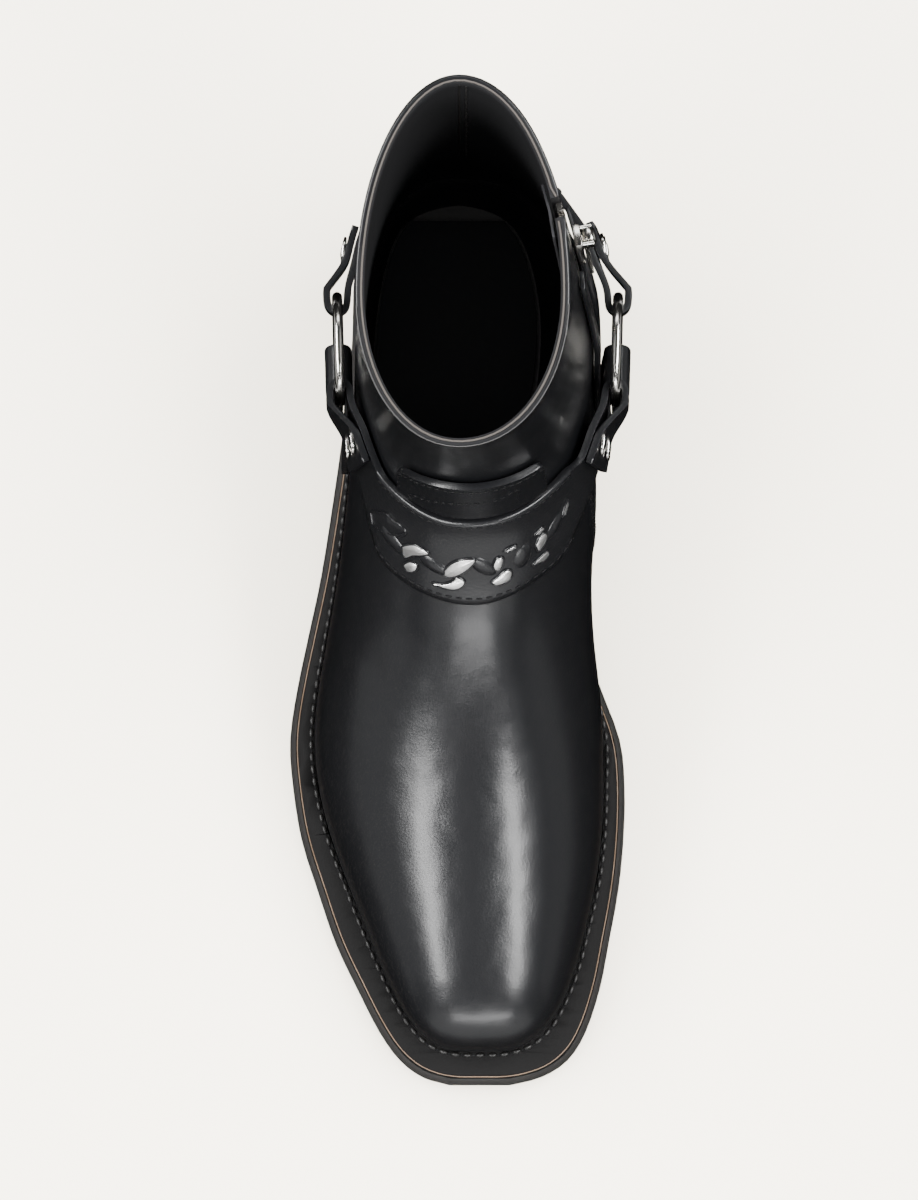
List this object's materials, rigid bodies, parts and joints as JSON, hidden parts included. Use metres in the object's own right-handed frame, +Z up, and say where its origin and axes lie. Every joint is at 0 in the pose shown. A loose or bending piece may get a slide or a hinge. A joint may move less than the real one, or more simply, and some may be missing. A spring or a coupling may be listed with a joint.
{
  "type": "harness boot",
  "caption": "Black leather harness boot with a square toe, a stitched welt, a stacked heel, strap rings and an inner side zip.",
  "frame": {"origin": "middle of the heel's rest face, on the floor", "axes": "+X to the inner side of the right foot, +Y to the back of the heel, +Z up"},
  "size_m": [0.1072, 0.287, 0.1902],
  "materials": {
    "leather": "smooth, glossy",
    "lining": "matt",
    "sole": "satin",
    "welt": "satin, stitched",
    "heel": "satin, stacked",
    "top_lift": "matt",
    "zip_tape": "woven",
    "nickel": "polished nickel"
  },
  "bodies": {
    "boot": {"outsole": "sole", "welt": "welt", "heel_stack": "heel", "heel_top_lift": "top_lift", "insole": "lining", "upper": "leather", "front_patch": "leather", "zip_facing_front": "leather", "zip_facing_rear": "leather", "zip_tape": "zip_tape", "zip_teeth": "nickel", "zip_slider": "nickel", "front_strap": "leather", "back_strap": "leather", "under_strap_lateral": "leather", "rivet_front_lateral_1": "nickel", "rivet_front_lateral_2": "nickel", "rivet_back_lateral_1": "nickel", "rivet_back_lateral_2": "nickel", "rivet_under_lateral_1": "nickel", "rivet_under_lateral_2": "nickel", "under_strap_medial": "leather", "rivet_front_medial_1": "nickel", "rivet_front_medial_2": "nickel", "rivet_back_medial_1": "nickel", "rivet_back_medial_2": "nickel", "rivet_under_medial_1": "nickel", "rivet_under_medial_2": "nickel"},
    "zip_pull": {"zip_pull": "nickel"},
    "ring_lateral": {"ring_lateral": "nickel"},
    "ring_medial": {"ring_medial": "nickel"}
  },
  "joints": [
    {"name": "zip_pull_swing", "type": "hinge", "parent": "boot", "child": "zip_pull", "pos_m": [0.03754, -0.00701, 0.1691], "axis": [-0.1318, 0.9349, -0.3297], "range_deg": [-100, 0]},
    {"name": "ring_lateral_turn", "type": "hinge", "parent": "boot", "child": "ring_lateral", "pos_m": [-0.03622, -0.03064, 0.1081], "axis": [-0.9991, -0.0303, 0.0287], "continuous": true},
    {"name": "ring_medial_turn", "type": "hinge", "parent": "boot", "child": "ring_medial", "pos_m": [0.04741, -0.0307, 0.10821], "axis": [0.9989, -0.0302, 0.0366], "continuous": true}
  ]
}
